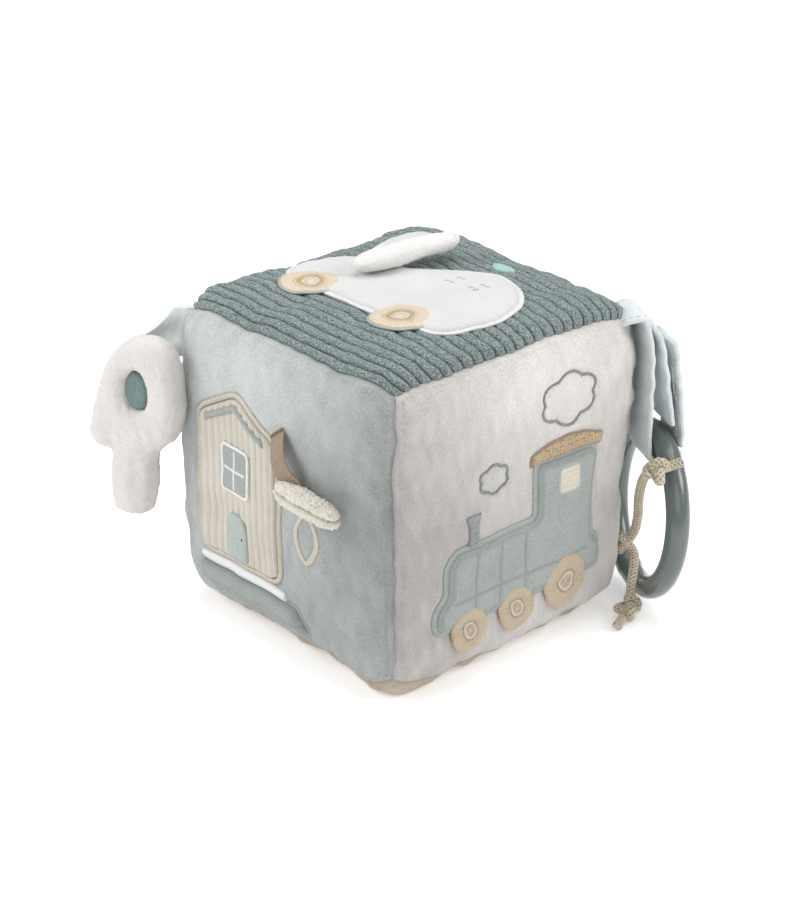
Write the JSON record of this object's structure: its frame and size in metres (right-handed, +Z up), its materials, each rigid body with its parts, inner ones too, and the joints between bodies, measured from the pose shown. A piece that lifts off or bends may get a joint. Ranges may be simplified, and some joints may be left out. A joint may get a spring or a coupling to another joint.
{
  "type": "soft fabric block",
  "caption": "Stuffed fabric cube for a baby, with sewn pictures on its faces, a plush key on a strap, a ring in a loop with a hook-and-loop closing, a pull ribbon with a tab, and knotted cords.",
  "frame": {"origin": "centre of the cube's flat resting face, on the surface that it stands on", "axes": "+Z up; -Y out of the face with the house; +X out of the face with the engine"},
  "size_m": [0.1701, 0.1648, 0.1331],
  "materials": {
    "blue_grey_velour": "velour",
    "off_white_velour": "velour",
    "teal_corduroy": "ribbed",
    "cream_corduroy": "ribbed",
    "cream_satin": "satin",
    "white_satin": "satin",
    "white_plush": "plush",
    "pale_blue_velour": "velour",
    "mint_satin": "satin",
    "tan_satin": "satin",
    "tan_weave": "woven",
    "brown_grosgrain": "ribbed",
    "grey_stitch": "stitched",
    "grey_green_satin": "satin",
    "cream_terry": "looped pile",
    "grey_plastic": "gloss",
    "beige_braid": "braided",
    "white_stuffing": "loose fibre",
    "clear_plastic": "translucent",
    "white_hook_tape": "hook and loop"
  },
  "bodies": {
    "block": {"back_panel": "blue_grey_velour", "bottom_panel": "cream_corduroy", "cab_roof": "tan_weave", "cab_window": "cream_satin", "drive_wheel": "tan_satin", "engine_body": "pale_blue_velour", "engine_chimney": "grey_stitch", "front_panel": "blue_grey_velour", "front_wheel": "tan_satin", "house_door": "grey_green_satin", "house_piping": "cream_satin", "house_roof_trim": "pale_blue_velour", "house_sill": "white_satin", "house_wall": "cream_corduroy", "house_window": "pale_blue_velour", "lawn_pad": "blue_grey_velour", "left_disc": "cream_satin", "left_panel": "off_white_velour", "middle_wheel": "tan_satin", "mint_leaf": "mint_satin", "pull_cord_lower": "beige_braid", "pull_cord_lower_knot": "beige_braid", "pull_cord_upper": "beige_braid", "pull_cord_upper_knot": "beige_braid", "rabbit_body": "white_plush", "rattle_shell_lower": "clear_plastic", "rattle_shell_upper": "clear_plastic", "right_disc": "cream_satin", "right_panel": "off_white_velour", "steam_puff_large": "grey_stitch", "steam_puff_small": "grey_stitch", "stitched_leaf": "cream_satin", "stuffing_lower": "white_stuffing", "stuffing_upper": "white_stuffing", "top_panel": "teal_corduroy"},
    "ear": {"ear_flap": "white_plush"},
    "ribbon": {"pull_ribbon": "brown_grosgrain"},
    "tab": {"terry_tab": "cream_terry"},
    "key_strap": {"key_strap": "blue_grey_velour"},
    "key": {"key_tag": "white_plush", "key_hole_patch": "teal_corduroy"},
    "ring_strap": {"ring_strap": "blue_grey_velour", "hook_pad": "white_hook_tape"},
    "fastener": {"ring_strap_fastener": "blue_grey_velour", "loop_pad": "white_hook_tape"},
    "ring": {"teether_ring": "grey_plastic"},
    "rattle": {"rattle_ball": "clear_plastic"}
  },
  "joints": [
    {"name": "ear_flap_lift", "type": "hinge", "parent": "block", "child": "ear", "pos_m": [-0.015, -0.012, 0.1243], "axis": [0.9925, -0.1219, 0], "range_deg": [0, 90]},
    {"name": "ribbon_lift", "type": "hinge", "parent": "block", "child": "ribbon", "pos_m": [0.0055, -0.06374, 0.0867], "axis": [-0.788, 0, -0.6157], "range_deg": [0, 95]},
    {"name": "terry_tab_swing", "type": "hinge", "parent": "ribbon", "child": "tab", "pos_m": [0.01473, -0.06857, 0.07488], "axis": [0, 1, 0], "range_deg": [-40, 0]},
    {"name": "key_strap_swing", "type": "hinge", "parent": "block", "child": "key_strap", "pos_m": [-0.05854, -0.05854, 0.1015], "axis": [0, 0, -1], "range_deg": [0, 90]},
    {"name": "key_turn", "type": "hinge", "parent": "key_strap", "child": "key", "pos_m": [-0.0678, -0.06978, 0.08272], "axis": [0, 0, -1], "range_deg": [0, 55]},
    {"name": "ring_strap_lift", "type": "hinge", "parent": "block", "child": "ring_strap", "pos_m": [0.05656, 0.05551, 0.11494], "axis": [0.8988, -0.4384, 0], "range_deg": [0, 95]},
    {"name": "fastening_open", "type": "hinge", "parent": "ring_strap", "child": "fastener", "pos_m": [0.06395, 0.07067, 0.06421], "axis": [-0.8988, 0.4384, 0], "range_deg": [0, 95]},
    {"name": "ring_turn", "type": "hinge", "parent": "ring_strap", "child": "ring", "pos_m": [0.06011, 0.0628, 0.03709], "axis": [-0.4367, -0.8954, 0.0872], "continuous": true},
    {"name": "rattle_slide", "type": "slide", "parent": "block", "child": "rattle", "axis": [0, 0, 1], "range_m": [0, 0.0164]}
  ]
}
